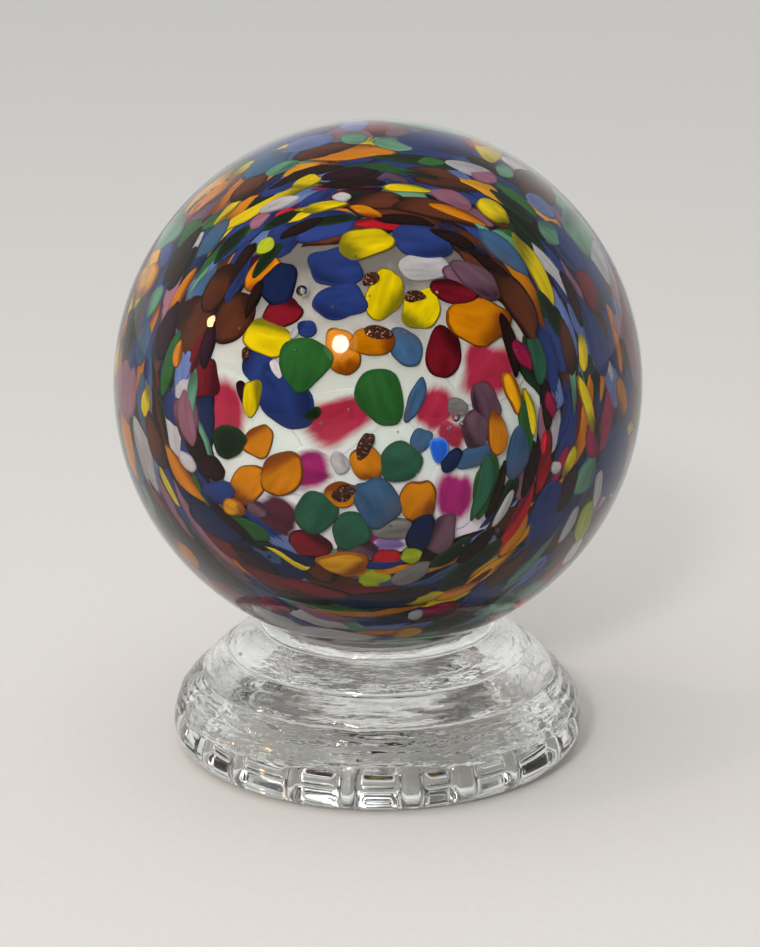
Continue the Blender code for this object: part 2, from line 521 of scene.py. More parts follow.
def link(name, mesh, material):
    """Put a finished mesh in the scene under that name."""
    mesh.materials.clear()
    mesh.materials.append(material)
    thing = bpy.data.objects.new(name, mesh)
    bpy.context.collection.objects.link(thing)
    return thing


def ride(thing):
    """The piece moves with the whole object."""
    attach(thing, BODY)


def view_axes():
    """The eye's place, and the directions to the ball's centre, to the right and up."""
    back = Vector((0.0, -math.cos(VIEW_RISE), math.sin(VIEW_RISE)))
    eye = BALL_CENTRE + back * VIEW_DISTANCE
    right = Vector((1.0, 0.0, 0.0))
    return eye, -back, right, right.cross(-back)


def hit_sphere(origin, direction, radius):
    """Where a ray first meets a sphere round the ball's centre, or passes closest to it."""
    to_centre = BALL_CENTRE - origin
    along = to_centre.dot(direction)
    miss = to_centre.length_squared - along * along
    half_chord = math.sqrt(max(radius * radius - miss, 0.0))
    return origin + direction * (along - half_chord)


def seen_on_core(x, y, core_radius, ior):
    """Direction from the ball's centre to the spot of the core that shows at a photo pixel.

    The line of sight bends where it enters the casing, so the core looks larger than it is.
    """
    eye, ahead, right, up = view_axes()
    across = x - BALL_SHOWS_AT[0]
    above = BALL_SHOWS_AT[1] - y
    sight = (ahead * FOCAL_PIXELS + right * across + up * above).normalized()
    entry = hit_sphere(eye, sight, BALL_RADIUS)
    normal = (entry - BALL_CENTRE).normalized()
    facing = -normal.dot(sight)
    bend = facing / ior - math.sqrt(1 - (1 - facing * facing) / (ior * ior))
    inside = (sight / ior + normal * bend).normalized()
    return (hit_sphere(entry, inside, core_radius) - BALL_CENTRE).normalized()


class MARBLE_OT_casing(bpy.types.Operator):
    """Make the clear casing, the ball's smooth outer glass"""
    bl_idname = "marble.casing"
    bl_label = "Clear casing"

    def execute(self, context):
        bm = bmesh.new()
        add_ball(bm, BALL_CENTRE, BALL_RADIUS, subdivisions=7)
        mesh = finished_mesh("clear_casing", bm)
        casing = link("clear_casing", mesh, clear_casing_glass())
        casing.visible_shadow = False
        ride(casing)
        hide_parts("marble")
        return {"FINISHED"}


class MARBLE_OT_core(bpy.types.Operator):
    """Make the opal core that carries the chips"""
    bl_idname = "marble.core"
    bl_label = "Opal core"

    def execute(self, context):
        bm = bmesh.new()
        add_ball(bm, BALL_CENTRE, context.scene.marble_core.radius, subdivisions=6)
        mesh = finished_mesh("opal_core", bm)
        ride(link("opal_core", mesh, opal_glass()))
        return {"FINISHED"}


# The chips round the front pole: glass, x and y of the middle in the photograph, length and
# width there, and the turn of the length from level, anticlockwise, all read off
POLE_CHIPS = (
    ("cobalt", 330, 268, 52, 38, 0),
    ("cobalt", 334, 303, 54, 34, 8),
    ("lemon", 361, 244, 56, 28, 8),
    ("cobalt", 417, 243, 60, 32, -8),
    ("pearl", 419, 268, 50, 27, 0),
    ("mauve", 461, 280, 50, 22, -25),
    ("lemon", 379, 295, 51, 36, 75),
    ("aventurine", 366, 280, 17, 12, 20),
    ("lemon", 417, 309, 44, 38, 60),
    ("aventurine", 410, 297, 20, 11, 0),
    ("ruby", 449, 292, 45, 22, -12),
    ("amber", 471, 323, 61, 48, -15),
    ("ruby", 438, 353, 51, 36, 80),
    ("slate", 400, 347, 44, 30, -60),
    ("amber", 337, 351, 52, 34, -72),
    ("amber", 366, 341, 46, 28, 5),
    ("aventurine", 372, 334, 28, 15, -10),
    ("emerald", 299, 365, 55, 48, 70),
    ("emerald", 377, 397, 65, 48, -70),
    ("lemon", 263, 338, 46, 36, -15),
    ("umber", 253, 339, 11, 10, 0),
    ("aventurine", 242, 354, 13, 8, 80),
    ("pearl", 272, 370, 22, 9, -65),
    ("pearl", 291, 331, 18, 9, 60),
    ("bottle", 308, 414, 18, 11, 35),
    ("pearl", 335, 462, 24, 16, -60),
    ("plum", 241, 398, 38, 11, -70),
    ("cobalt", 252, 366, 34, 30, 60),
    ("cobalt", 281, 400, 70, 48, -50),
    ("lemon", 247, 398, 39, 18, 80),
    ("pink", 335, 421, 106, 66, 22),
    ("slate", 410, 400, 48, 16, 70),
    ("pink", 430, 408, 64, 54, 70),
    ("mauve", 480, 402, 44, 27, -72),
    ("pink", 482, 371, 78, 72, 60),
    ("slate", 415, 442, 26, 20, 60),
    ("sky", 433, 450, 25, 18, 80),
    ("navy", 446, 460, 28, 16, 50),
    ("mauve", 470, 429, 38, 25, 85),
    ("pink", 446, 434, 50, 36, -50),
    ("ash", 452, 407, 20, 18, 0),
    ("slate", 468, 456, 40, 20, 25),
    ("teal", 397, 461, 41, 38, 0),
    ("amber", 362, 464, 37, 32, -60),
    ("aventurine", 360, 446, 30, 14, 70),
    ("amber", 255, 440, 34, 29, 60),
    ("amber", 242, 483, 38, 34, 60),
    ("amber", 278, 472, 45, 38, 50),
    ("magenta", 302, 470, 64, 52, 0),
    ("bottle", 226, 442, 34, 32, 0),
    ("wine", 272, 514, 62, 48, -35),
    ("mauve", 253, 509, 22, 14, -30),
    ("teal", 312, 511, 43, 38, 50),
    ("teal", 347, 530, 38, 36, 0),
    ("slate", 372, 501, 52, 44, -60),
    ("amber", 413, 499, 42, 38, 60),
    ("amber", 337, 495, 34, 26, 0),
    ("aventurine", 339, 492, 24, 16, 20),
    ("magenta", 450, 496, 68, 54, 80),
    ("emerald", 480, 487, 60, 22, 75),
    ("ruby", 306, 544, 44, 24, -15),
    ("navy", 278, 562, 70, 36, -15),
    ("amber", 343, 564, 44, 24, -5),
    ("mauve", 353, 550, 40, 18, 0),
    ("crimson", 383, 562, 34, 28, 0),
    ("ash", 387, 529, 46, 20, 5),
    ("lavender", 384, 543, 40, 26, 0),
    ("magenta", 368, 536, 26, 20, 70),
    ("umber", 425, 555, 30, 14, 40),
    ("lime", 370, 577, 36, 18, 0),
    ("navy", 416, 530, 38, 24, 65),
    ("mauve", 437, 533, 46, 25, 62),
    ("coffee", 189, 327, 65, 34, 75),
    ("coffee", 230, 318, 56, 34, 60),
    ("ruby", 201, 378, 39, 27, 80),
    ("mauve", 184, 422, 56, 24, -80),
    ("pearl", 179, 388, 30, 16, 80),
    ("pink", 217, 412, 88, 70, -75),
    ("amber", 257, 274, 44, 24, 50),
    ("navy", 274, 284, 48, 34, 60),
    ("ruby", 278, 314, 42, 28, 30),
    ("cobalt", 302, 329, 20, 16, 0),
    ("cobalt", 320, 228, 66, 28, 12),
    ("cobalt", 279, 235, 50, 26, 35),
)

# The drawn-out chips that stand out further from the pole, read off in the same way
DRAWN_CHIPS = (
    ("lemon", 224, 214, 38, 6, 45),
    ("lemon", 302, 185, 30, 11, 20),
    ("lemon", 320, 209, 46, 9, 10),
    ("amber", 362, 214, 34, 9, -15),
    ("cobalt", 279, 236, 34, 22, 30),
    ("lime", 262, 248, 22, 13, 40),
    ("cobalt", 233, 272, 64, 20, 70),
    ("bottle", 228, 245, 50, 10, 45),
    ("bottle", 281, 221, 48, 11, 25),
    ("rose", 256, 222, 24, 10, 35),
    ("pearl", 276, 206, 40, 9, 20),
    ("pearl", 337, 200, 18, 9, 0),
    ("cobalt", 312, 201, 44, 12, 25),
    ("coffee", 375, 203, 60, 17, 0),
    ("slate", 262, 165, 60, 20, 30),
    ("periwinkle", 303, 146, 54, 13, 15),
    ("coffee", 318, 154, 62, 13, 12),
    ("mint", 275, 172, 42, 8, 25),
    ("mint", 349, 141, 30, 13, 0),
    ("periwinkle", 350, 128, 30, 13, 5),
    ("ruby", 372, 131, 34, 17, 0),
    ("mint", 168, 232, 46, 18, 50),
    ("cobalt", 162, 255, 30, 12, 65),
    ("honey", 142, 282, 42, 17, 62),
    ("honey", 150, 262, 30, 10, 60),
    ("mint", 152, 302, 36, 9, 65),
    ("amber", 178, 293, 60, 8, 60),
    ("lemon", 482, 153, 32, 20, -30),
    ("amber", 476, 146, 24, 10, -20),
    ("cobalt", 430, 145, 78, 23, -10),
    ("mauve", 391, 133, 34, 15, -5),
    ("bottle", 415, 163, 90, 10, -8),
    ("emerald", 426, 165, 30, 8, -5),
    ("pearl", 465, 172, 56, 11, -18),
    ("rose", 478, 180, 28, 11, -15),
    ("emerald", 508, 199, 56, 8, -38),
    ("bottle", 506, 208, 54, 9, -38),
    ("mint", 498, 174, 20, 12, -30),
    ("coffee", 529, 189, 48, 24, -40),
    ("mint", 572, 234, 56, 22, -62),
    ("periwinkle", 534, 208, 38, 11, -40),
    ("cobalt", 560, 250, 66, 18, -55),
    ("mint", 543, 236, 30, 14, -50),
    ("lemon", 487, 214, 38, 17, -35),
    ("rose", 446, 201, 46, 14, -20),
    ("lemon", 403, 191, 50, 8, -5),
    ("coffee", 425, 210, 96, 18, -12),
    ("amber", 452, 216, 64, 9, -20),
    ("mauve", 470, 280, 62, 24, -38),
    ("slate", 498, 254, 66, 18, -42),
    ("lemon", 530, 272, 90, 13, -62),
    ("bottle", 516, 240, 36, 9, -50),
    ("bottle", 543, 315, 52, 11, -65),
    ("coffee", 512, 305, 92, 24, -60),
    ("ruby", 582, 292, 52, 16, -65),
    ("rose", 612, 328, 26, 10, -70),
    ("cerise", 515, 355, 34, 15, -60),
    ("cerise", 543, 404, 26, 10, -76),
    ("scarlet", 540, 444, 30, 10, 86),
    ("crimson", 537, 470, 44, 11, 76),
    ("crimson", 512, 518, 84, 12, 62),
    ("pearl", 604, 378, 36, 8, -80),
    ("pearl", 591, 489, 40, 7, 78),
    ("pearl", 563, 524, 40, 7, 62),
    ("pearl", 567, 550, 38, 7, 54),
    ("pearl", 497, 508, 44, 8, 62),
    ("mint", 579, 474, 44, 16, 66),
    ("cobalt", 586, 333, 84, 17, -70),
    ("cobalt", 550, 345, 58, 14, -72),
    ("periwinkle", 606, 386, 46, 13, -80),
    ("amber", 614, 397, 40, 10, -82),
    ("honey", 506, 392, 46, 13, -72),
    ("cerise", 531, 612, 22, 8, 38),
    ("crimson", 552, 590, 44, 8, 44),
    ("pearl", 588, 254, 70, 13, -60),
    ("rose", 127, 394, 52, 12, 85),
    ("lemon", 143, 401, 32, 9, 85),
    ("amber", 179, 474, 68, 14, -55),
    ("cobalt", 214, 491, 34, 23, 0),
    ("plum", 208, 467, 32, 20, -40),
    ("pearl", 184, 461, 26, 11, -50),
    ("rose", 184, 418, 56, 15, -80),
    ("navy", 212, 523, 66, 22, -35),
    ("emerald", 240, 527, 56, 18, -25),
    ("honey", 230, 506, 24, 15, -30),
    ("amber", 175, 354, 28, 9, 80),
    ("ruby", 222, 545, 64, 13, -35),
    ("ruby", 262, 576, 70, 13, -28),
    ("coffee", 320, 569, 34, 24, 0),
    ("honey", 338, 562, 52, 22, 0),
    ("ruby", 306, 588, 76, 13, -14),
    ("navy", 366, 601, 90, 12, 0),
    ("lime", 406, 554, 22, 15, 10),
    ("ash", 406, 573, 44, 16, 25),
    ("emerald", 330, 605, 100, 9, -8),
    ("honey", 401, 631, 34, 9, 10),
    ("teal", 531, 357, 56, 14, -78),
    ("lemon", 524, 412, 50, 8, -80),
    ("emerald", 520, 425, 70, 12, -82),
    ("slate", 512, 452, 54, 20, 80),
    ("amber", 491, 432, 46, 18, -84),
    ("teal", 478, 487, 66, 14, 75),
    ("umber", 492, 490, 60, 9, 72),
    ("ruby", 541, 450, 46, 8, 85),
    # A painted glint, not a chip: a small bright scarlet piece where the ball's red caustic of the
    # lamp shows
    ("scarlet", 515, 605, 18, 11, 40),
    ("pearl", 549, 467, 14, 9, 70),
    ("lemon", 580, 404, 60, 9, -76),
    ("cerise", 584, 442, 34, 12, -80),
    ("lemon", 563, 461, 32, 9, 70),
    ("cobalt", 609, 458, 80, 25, 80),
    ("cobalt", 541, 517, 84, 29, 65),
    ("amber", 508, 532, 58, 15, 60),
    ("lime", 577, 521, 46, 13, 70),
    ("mauve", 595, 519, 52, 17, 65),
    ("cerise", 430, 608, 44, 9, 18),
    ("pearl", 411, 613, 16, 8, 20),
    ("coffee", 560, 345, 60, 13, -75),
    ("coffee", 214, 290, 58, 22, 62),
    ("plum", 164, 330, 60, 15, 72),
    ("slate", 140, 345, 44, 13, 78),
    ("coffee", 152, 440, 60, 13, -75),
    ("plum", 560, 490, 60, 13, 68),
    ("bottle", 470, 560, 70, 13, 35),
    ("coffee", 500, 570, 70, 12, 42),
    ("amber", 452, 590, 46, 8, 24),
    ("cobalt", 480, 590, 60, 15, 32),
    ("bottle", 446, 552, 50, 12, 35),
    ("plum", 344, 176, 60, 11, 8),
    ("coffee", 440, 186, 70, 11, -12),
    ("coffee", 246, 190, 50, 13, 36),
    ("slate", 210, 240, 50, 13, 50),
    ("umber", 505, 345, 64, 12, -75),
    ("umber", 236, 268, 56, 10, 60),
    ("bottle", 262, 262, 44, 11, 50),
    ("umber", 250, 300, 40, 9, 66),
    ("umber", 298, 230, 50, 10, 24),
    ("bottle", 330, 222, 44, 9, 8),
    ("umber", 446, 240, 50, 10, -22),
    ("umber", 486, 268, 60, 10, -40),
    ("plum", 205, 345, 46, 11, 76),
    ("umber", 190, 446, 50, 10, -72),
    ("umber", 226, 520, 60, 10, -42),
    ("plum", 250, 560, 60, 11, -32),
    ("umber", 296, 596, 80, 9, -16),
    ("umber", 390, 594, 80, 10, 6),
    ("bottle", 500, 500, 60, 12, 64),
    ("umber", 524, 470, 60, 11, 78),
    ("umber", 540, 400, 60, 10, -84),
    ("umber", 470, 545, 50, 12, 44),
    ("umber", 348, 186, 64, 8, 4),
    ("umber", 400, 222, 60, 9, -6),
    ("umber", 522, 222, 50, 8, -44),
    ("umber", 566, 300, 60, 9, -68),
    ("umber", 178, 270, 50, 8, 58),
)

# How high the chips lie over the core: the lowest, and the spread up to the highest. Aventurine
# lies that many times the spread up, and fading chips dip into the core at their rims.
POLE_LIFT = (0.25 * MM, 0.30 * MM)
DRAWN_LIFT = (0.60 * MM, 0.30 * MM)
AVENTURINE_LIFT = 1.2
FADING_LIFT = -0.01 * MM

# A chip's lens: its points round, its rings as shares of the way out, how flat its dome is, and
# how deep its edge and the middle of its underside reach into the core
CHIP_SEGMENTS = 32
CHIP_RINGS = (0.2, 0.4, 0.6, 0.75, 0.85, 0.93, 1.0)
DOME_POWER = 4
CHIP_EDGE_DEPTH = 0.2 * MM
CHIP_ROOT_DEPTH = 0.5 * MM

# A chip's outline: how square a pebble is, how sharp an almond's ends are, how much fatter one
# end is, how far and how quickly either outline strays, and over how much noise chips spread
SQUARENESS = (1.9, 2.6)
ALMOND_TAPER = 0.14
FATTER_END = 0.3
PEBBLE_STRAY = 0.24
ALMOND_STRAY = 0.20
STRAY_QUICKNESS = 1.1
STRAY_SPREAD = 90


class ChipShape:
    """The outline of one chip: a squarish pebble, or an almond where it was drawn out."""

    def __init__(self, order, pointed):
        chance = random.Random(order)
        self.pointed = pointed
        self.squareness = chance.uniform(*SQUARENESS)
        self.offset = chance.uniform(0, STRAY_SPREAD)
        self.fatter_end = chance.uniform(-FATTER_END, FATTER_END)
        self.tone = chance.random()
        self.lift = chance.random()

    def reach(self, angle):
        """How far along and across the rim lies at this angle, as shares of the half sizes."""
        along = math.cos(angle)
        across = math.sin(angle)
        if self.pointed:
            across *= max(1.0 - along * along, 0.0) ** ALMOND_TAPER
            stray = ALMOND_STRAY
        else:
            stretch = abs(along) ** self.squareness + abs(across) ** self.squareness
            stretch **= -1 / self.squareness
            along *= stretch
            across *= stretch
            stray = PEBBLE_STRAY
        across *= 1 + self.fatter_end * along
        spot = Vector((math.cos(angle), math.sin(angle), self.offset))
        wave = 1 + stray * noise.noise(spot * STRAY_QUICKNESS)
        return along * wave, across * wave


def lay_chip(bm, chip, shape, lift, core, layers):
    """Add one chip seen in the photograph as a thin closed lens on the core.

    A drawn-out chip bends round the pole, as the circle through its middle does.
    """
    _, x, y, length, width, turn = chip
    lean = math.radians(turn)
    to_pole = Vector((POLE_SHOWS_AT[0] - x, POLE_SHOWS_AT[1] - y))
    pole_side = -to_pole.x * math.sin(lean) - to_pole.y * math.cos(lean)
    bend = math.copysign(0.5 / to_pole.length, pole_side) if shape.pointed else 0.0

    def place(share, angle, height):
        out_along, out_across = shape.reach(angle)
        along = share * out_along * length / 2
        across = share * out_across * width / 2 + bend * along * along
        px = x + along * math.cos(lean) - across * math.sin(lean)
        py = y - along * math.sin(lean) - across * math.cos(lean)
        spot = seen_on_core(px, py, core.radius, core.casing_ior)
        vert = bm.verts.new(BALL_CENTRE + spot * (core.radius + height))
        vert[layers["edge"]] = share
        vert[layers["tone"]] = shape.tone
        vert[layers["grain"]] = (share * out_along, share * out_across, 0.0)
        return vert

    rings = []
    for share in CHIP_RINGS:
        height = lift + core.chip_thickness * (1 - share ** DOME_POWER)
        rings.append([
            place(share, 2 * math.pi * step / CHIP_SEGMENTS, height)
            for step in range(CHIP_SEGMENTS)
        ])
    top = place(0.0, 0.0, lift + core.chip_thickness)
    root = place(0.0, 0.0, -CHIP_ROOT_DEPTH)
    foot = [
        place(1.0, 2 * math.pi * step / CHIP_SEGMENTS, -CHIP_EDGE_DEPTH)
        for step in range(CHIP_SEGMENTS)
    ]
    rings.append(foot)
    for step in range(CHIP_SEGMENTS):
        following = (step + 1) % CHIP_SEGMENTS
        bm.faces.new((top, rings[0][step], rings[0][following]))
        for inner, outer in zip(rings, rings[1:]):
            bm.faces.new((inner[step], outer[step], outer[following], inner[following]))
        bm.faces.new((root, foot[following], foot[step]))


def lay_chips(name, chips, pointed, lowest, spread, core):
    """Lay a list of chips, one piece for each glass, at uneven heights over the core."""
    for glass in sorted({chip[0] for chip in chips}):
        bm = bmesh.new()
        layers = {
            "edge": bm.verts.layers.float.new("edge"),
            "tone": bm.verts.layers.float.new("tone"),
            "grain": bm.verts.layers.float_vector.new("grain"),
        }
        for order, chip in enumerate(chips):
            if chip[0] == glass:
                shape = ChipShape(order, pointed)
                lift = lowest + spread * shape.lift
                if glass in FADING_GLASSES and not pointed:
                    lift = FADING_LIFT
                elif glass == "aventurine":
                    lift = lowest + AVENTURINE_LIFT * spread
                lay_chip(bm, chip, shape, lift, core, layers)
        bmesh.ops.recalc_face_normals(bm, faces=bm.faces)
        mesh = finished_mesh(f"{name}_{glass}", bm)
        ride(link(mesh.name, mesh, glass_for(glass)))


class MARBLE_OT_pole_chips(bpy.types.Operator):
    """Lay the chips told apart in the photograph, pebbles round the pole and drawn ones"""
    bl_idname = "marble.pole_chips"
    bl_label = "Chips round the pole"

    def execute(self, context):
        core = context.scene.marble_core
        lay_chips("pole_chips", POLE_CHIPS, False, *POLE_LIFT, core)
        lay_chips("drawn_chips", DRAWN_CHIPS, True, *DRAWN_LIFT, core)
        return {"FINISHED"}


# Air bubbles in the casing: x and y in the photograph, and radius in millimetres, and how far
# clear of the core they float
BUBBLES = (
    (301, 296, 0.95), (447, 416, 0.7), (453, 422, 0.5), (441, 426, 0.45), (345, 409, 0.35),
    (352, 262, 0.25), (430, 296, 0.3), (330, 310, 0.25), (318, 421, 0.3), (294, 352, 0.25),
    (398, 335, 0.25), (506, 352, 0.3), (260, 470, 0.25), (410, 470, 0.22), (385, 520, 0.25),
    (240, 330, 0.25), (470, 250, 0.28), (392, 430, 0.2), (365, 300, 0.2), (455, 540, 0.3),
)
BUBBLE_CLEARANCE = 1.9 * MM


class MARBLE_OT_bubbles(bpy.types.Operator):
    """Trap small air bubbles in the casing, over the chips"""
    bl_idname = "marble.bubbles"
    bl_label = "Bubbles"

    def execute(self, context):
        core = context.scene.marble_core
        bm = bmesh.new()
        for x, y, size in BUBBLES:
            spot = seen_on_core(x, y, core.radius, core.casing_ior)
            depth = core.radius + BUBBLE_CLEARANCE + size * MM
            add_ball(bm, BALL_CENTRE + spot * depth, size * MM, subdivisions=3)
        mesh = finished_mesh("trapped_bubbles", bm)
        ride(link("trapped_bubbles", mesh, bubble_air()))
        return {"FINISHED"}


# The coats of scattered chips: each glass and its share of the coat. The under coat is dark and
# closes the gaps of the upper one, thin needles lie over both, and the far pole has one coat
# with the opal showing between.
UNDER_COAT = (
    ("bottle", 0.22), ("navy", 0.34), ("umber", 0.18), ("plum", 0.18), ("coffee", 0.08),
)
UPPER_COAT = (
    ("cobalt", 0.23), ("navy", 0.08), ("slate", 0.06), ("periwinkle", 0.06), ("coffee", 0.12),
    ("amber", 0.05), ("honey", 0.03), ("lemon", 0.04), ("emerald", 0.05), ("mint", 0.05),
    ("bottle", 0.06), ("mauve", 0.06), ("rose", 0.03), ("ruby", 0.04), ("crimson", 0.03),
    ("pearl", 0.01),
)
NEEDLE_COAT = (
    ("umber", 0.14), ("bottle", 0.08), ("lemon", 0.09), ("amber", 0.11), ("pearl", 0.06),
    ("mint", 0.09), ("cobalt", 0.12), ("ruby", 0.06), ("cerise", 0.04), ("emerald", 0.06),
    ("rose", 0.07), ("slate", 0.08),
)
FAR_COAT = (
    ("cobalt", 0.20), ("amber", 0.14), ("emerald", 0.10), ("lemon", 0.10), ("ruby", 0.10),
    ("mauve", 0.08), ("rose", 0.05), ("cerise", 0.05), ("teal", 0.08), ("slate", 0.06),
    ("aventurine", 0.04),
)

# The cosines of the angles from the axis between which the drawing-out fades, and the sizes
# of the chips' uneven layering and of the waves in their edges
BELT_COSINE = math.cos(math.radians(86))
DRAWN_COSINE = math.cos(math.radians(66))
LIFT_SPREAD = 0.2 * MM
WANDER_SIZE = 6 * MM

# How much of the cosine the under coat and the needles stop short of the pole's bare cap
SHORT_OF_CAP = 0.05

# What every scattered chip draws at random, between which values, and the step of the seed that
# keeps the draws apart: where it stands in the list of glasses, how far its coat's border is
# ragged, its half sizes and its lean as shares of the coat's, its lift and its tone
CHIP_DRAWS = (
    ("glass", 0.0, 1.0, 11.0),
    ("border", -0.06, 0.06, 83.0),
    ("length", 0.24, 0.76, 57.0),
    ("width", 0.28, 0.78, 61.0),
    ("lean", -1.0, 1.0, 43.0),
    ("lift", 0.0, LIFT_SPREAD, 31.0),
    ("tone", 0.0, 1.0, 23.0),
)

# The square of a lens's half length, a little over 1 so that its tapered tips keep some width
TIP = 1.02


def interface(tree, sockets):
    """Name a tree's inputs, each with its kind, and give it one geometry output."""
    for name, kind in sockets.items():
        tree.interface.new_socket(name, in_out="INPUT", socket_type=kind)
    tree.interface.new_socket("Geometry", in_out="OUTPUT", socket_type="NodeSocketGeometry")


def drawn_chip_tree():
    """Chips scattered over a band of the core and drawn out along its parallels.

    Every chip starts as one flat lens. Its own length, width and lean are kept on its vertices,
    which are then turned round the axis and along the meridian, so that it follows the core.
    """
    tree = bpy.data.node_groups.new("drawn_chips", "GeometryNodeTree")
    interface(tree, {
        "Core Radius": "NodeSocketFloat", "Centre": "NodeSocketVector",
        "Axis": "NodeSocketVector", "Turn Axis": "NodeSocketVector",
        "Cosine From": "NodeSocketFloat", "Cosine To": "NodeSocketFloat",
        "Spacing": "NodeSocketFloat", "Length": "NodeSocketFloat", "Width": "NodeSocketFloat",
        "Belt Length": "NodeSocketFloat", "Belt Width": "NodeSocketFloat",
        "Taper": "NodeSocketFloat", "Lean": "NodeSocketFloat", "Wander": "NodeSocketFloat",
        "Thickness": "NodeSocketFloat", "Lift": "NodeSocketFloat",
        "Share From": "NodeSocketFloat", "Share To": "NodeSocketFloat",
        "Seed": "NodeSocketInt", "Material": "NodeSocketMaterial",
    })
    given = add_node(tree, "NodeGroupInput").outputs
    radius = given["Core Radius"]
    axis = given["Turn Axis"]

    drawn = {}
    for name, low, high, seed_step in CHIP_DRAWS:
        seed = add_node(tree, MATHS, ADD, {0: given["Seed"], 1: seed_step}).outputs[0]
        drawn[name] = add_node(tree, "FunctionNodeRandomValue", {"data_type": "FLOAT"}, {
            2: low, 3: high, "Seed": seed,
        }).outputs[1]

    # Points spread evenly over the core, without those outside the band or of other glasses
    ball = add_node(tree, "GeometryNodeMeshIcoSphere", inputs={
        "Radius": radius, "Subdivisions": 5,
    }).outputs["Mesh"]
    points = add_node(tree, "GeometryNodeDistributePointsOnFaces", {
        "distribute_method": "POISSON",
    }, {
        "Mesh": ball, "Distance Min": given["Spacing"], "Density Max": 250000.0,
        "Seed": given["Seed"],
    }).outputs["Points"]
    place = add_node(tree, "GeometryNodeInputPosition").outputs[0]
    spot = add_node(tree, VECTOR_MATHS, NORMALIZE, {0: place}).outputs[0]
    facing = add_node(tree, VECTOR_MATHS, DOT_PRODUCT, {
        0: spot, 1: given["Axis"],
    }).outputs["Value"]
    ragged = add_node(tree, MATHS, ADD, {0: facing, 1: drawn["border"]}).outputs[0]
    unwanted = 0.0
    for operation, value, limit in (
        ("LESS_THAN", ragged, "Cosine From"),
        ("GREATER_THAN", ragged, "Cosine To"),
        ("LESS_THAN", drawn["glass"], "Share From"),
        ("GREATER_THAN", drawn["glass"], "Share To"),
    ):
        beyond = add_node(tree, MATHS, {"operation": operation}, {
            0: value, 1: given[limit],
        }).outputs[0]
        unwanted = add_node(tree, MATHS, ADD, {0: unwanted, 1: beyond}).outputs[0]
    points = add_node(tree, "GeometryNodeDeleteGeometry", {"domain": "POINT"}, {
        "Geometry": points, "Selection": unwanted,
    }).outputs[0]

    # Each point keeps its own chip's place and sizes, and all move to the lens's middle
    towards_pole = add_node(tree, MATHS, {"operation": "ABSOLUTE"}, {0: facing}).outputs[0]
    belt = add_node(tree, "ShaderNodeMapRange", SMOOTH_STEP, {
        "Value": towards_pole, "From Min": BELT_COSINE, "From Max": DRAWN_COSINE,
        "To Min": 1.0, "To Max": 0.0,
    }).outputs["Result"]
    length = add_node(tree, "ShaderNodeMix", {"data_type": "FLOAT"}, {
        0: belt, 2: given["Length"], 3: given["Belt Length"],
    }).outputs[0]
    width = add_node(tree, "ShaderNodeMix", {"data_type": "FLOAT"}, {
        0: belt, 2: given["Width"], 3: given["Belt Width"],
    }).outputs[0]
    points = add_node(tree, "GeometryNodeStoreNamedAttribute", {
        "data_type": "FLOAT_VECTOR", "domain": "POINT",
    }, {"Geometry": points, "Name": "spot", "Value": spot}).outputs[0]
    for name, most, share in (
        ("half_length", length, "length"), ("half_width", width, "width"),
        ("lean", given["Lean"], "lean"), ("lift", 1.0, "lift"), ("tone", 1.0, "tone"),
    ):
        value = add_node(tree, MATHS, MULTIPLY, {0: most, 1: drawn[share]}).outputs[0]
        points = add_node(tree, "GeometryNodeStoreNamedAttribute", {
            "data_type": "FLOAT", "domain": "POINT",
        }, {"Geometry": points, "Name": name, "Value": value}).outputs[0]
    points = add_node(tree, "GeometryNodeSetPosition", inputs={
        "Geometry": points, "Position": (0.0, 0.0, 0.0),
    }).outputs[0]

    # One lens, pinched to an almond, for every point
    lens = add_node(tree, "GeometryNodeMeshUVSphere", inputs={
        "Segments": 16, "Rings": 6, "Radius": 1.0,
    }).outputs["Mesh"]
    x, y, z = add_node(tree, "ShaderNodeSeparateXYZ", inputs={0: place}).outputs
    x_squared = add_node(tree, MATHS, MULTIPLY, {0: x, 1: x}).outputs[0]
    y_squared = add_node(tree, MATHS, MULTIPLY, {0: y, 1: y}).outputs[0]
    reach = add_node(tree, MATHS, ADD, {0: x_squared, 1: y_squared}).outputs[0]
    reach = add_node(tree, MATHS, {"operation": "SQRT"}, {0: reach}).outputs[0]
    for name, kind, value in (("edge", "FLOAT", reach), ("grain", "FLOAT_VECTOR", place)):
        lens = add_node(tree, "GeometryNodeStoreNamedAttribute", {
            "data_type": kind, "domain": "POINT",
        }, {"Geometry": lens, "Name": name, "Value": value}).outputs[0]
    waist = add_node(tree, MATHS, SUBTRACT, {0: TIP, 1: x_squared}).outputs[0]
    waist = add_node(tree, MATHS, {"operation": "MAXIMUM"}, {0: waist, 1: 0.0}).outputs[0]
    waist = add_node(tree, MATHS, {"operation": "POWER"}, {
        0: waist, 1: given["Taper"],
    }).outputs[0]
    pinched = add_node(tree, MATHS, MULTIPLY, {0: y, 1: waist}).outputs[0]
    almond = add_node(tree, "ShaderNodeCombineXYZ", inputs={0: x, 1: pinched, 2: z}).outputs[0]
    lens = add_node(tree, "GeometryNodeSetPosition", inputs={
        "Geometry": lens, "Position": almond,
    }).outputs[0]
    chips = add_node(tree, "GeometryNodeInstanceOnPoints", inputs={
        "Points": points, "Instance": lens,
    }).outputs[0]
    chips = add_node(tree, "GeometryNodeRealizeInstances", inputs={0: chips}).outputs[0]

